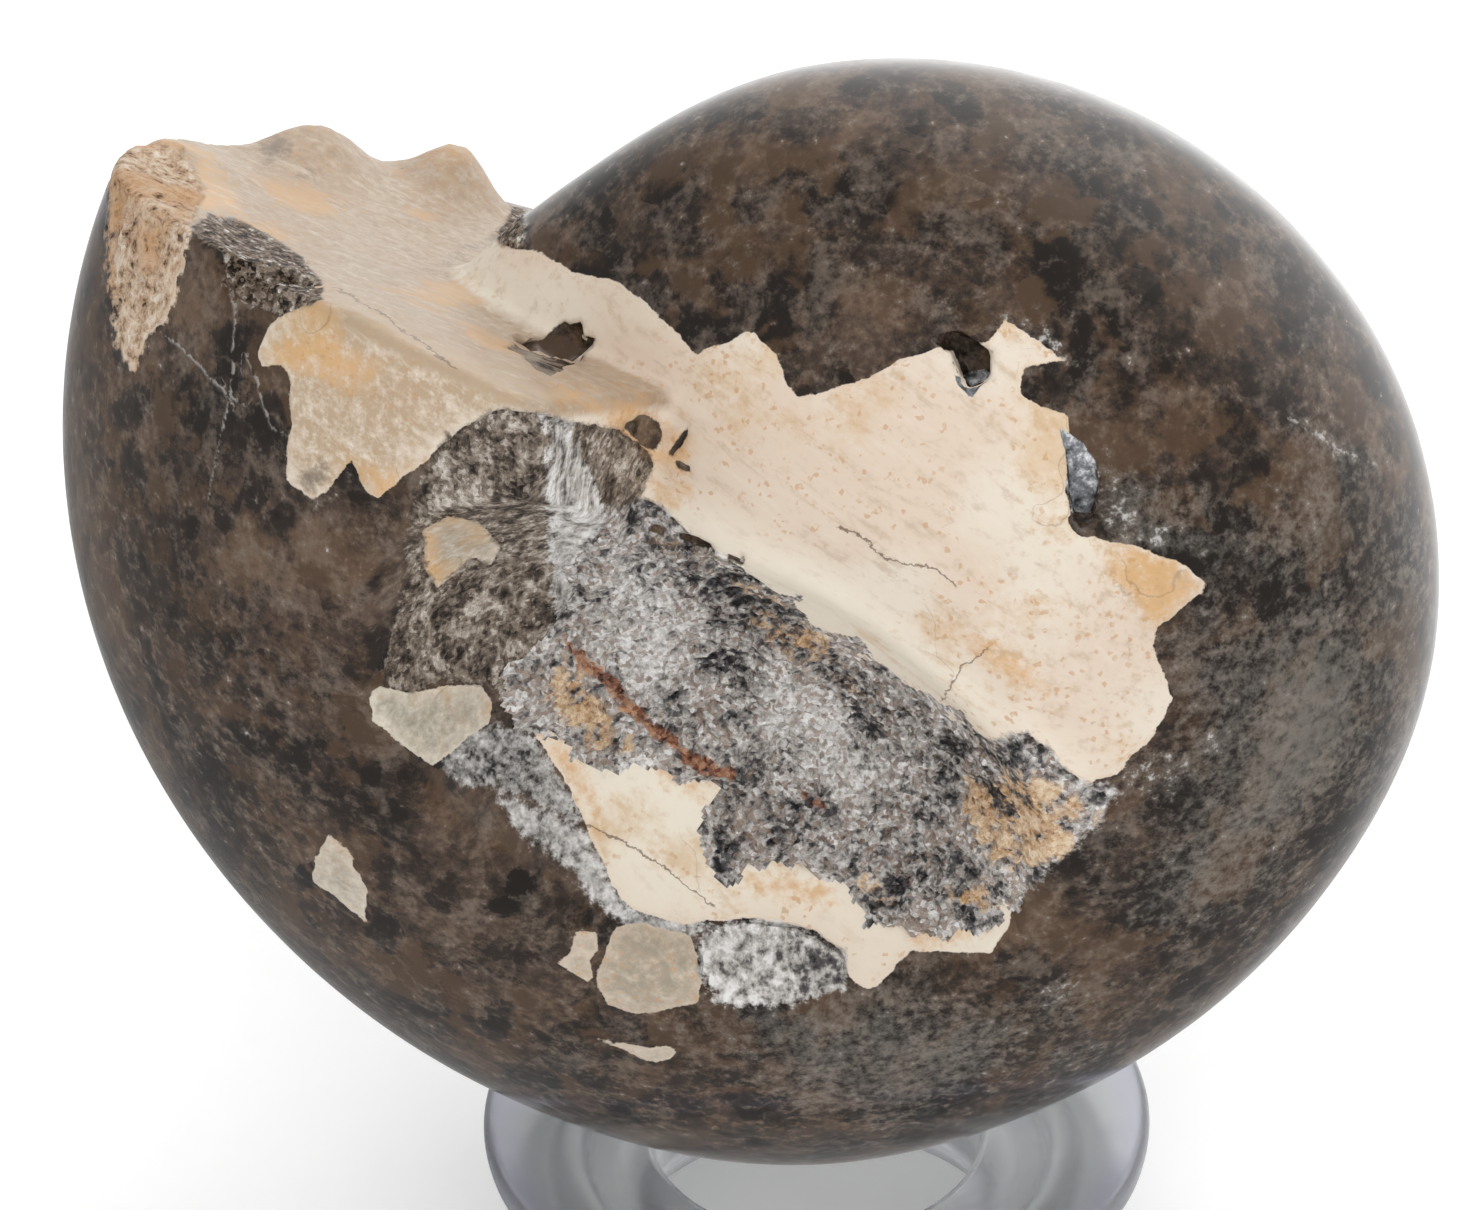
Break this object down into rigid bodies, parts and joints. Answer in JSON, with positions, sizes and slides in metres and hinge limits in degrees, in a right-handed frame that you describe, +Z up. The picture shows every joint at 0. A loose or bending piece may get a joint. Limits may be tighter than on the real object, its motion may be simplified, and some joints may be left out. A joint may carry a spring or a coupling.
{
  "type": "ammonite fossil",
  "caption": "Polished ammonite fossil, a thick coiled shell of dark calcite with a crystal-lined hollow on each flank, standing on its rim in a clear ring stand.",
  "frame": {"origin": "under the middle of the whole object, on the surface the ring stands on", "axes": "+Z up, +X to the right along the coil as seen from the front, -Y towards the viewer; the coil's plane is turned about 10 degrees from the XZ plane and leans back 4 degrees"},
  "size_m": [0.0934, 0.0588, 0.0966],
  "materials": {
    "polished_stone": "polished dark calcite with cream patches, rough cream where broken",
    "crystal_crust": "rough grey and white crystals with ochre stains",
    "clear_plastic": "clear, glossy"
  },
  "bodies": {
    "root": {"ammonite": "polished_stone", "umbilical_crust_front": "crystal_crust", "umbilical_crust_back": "crystal_crust", "ring_stand": "clear_plastic"}
  },
  "joints": []
}
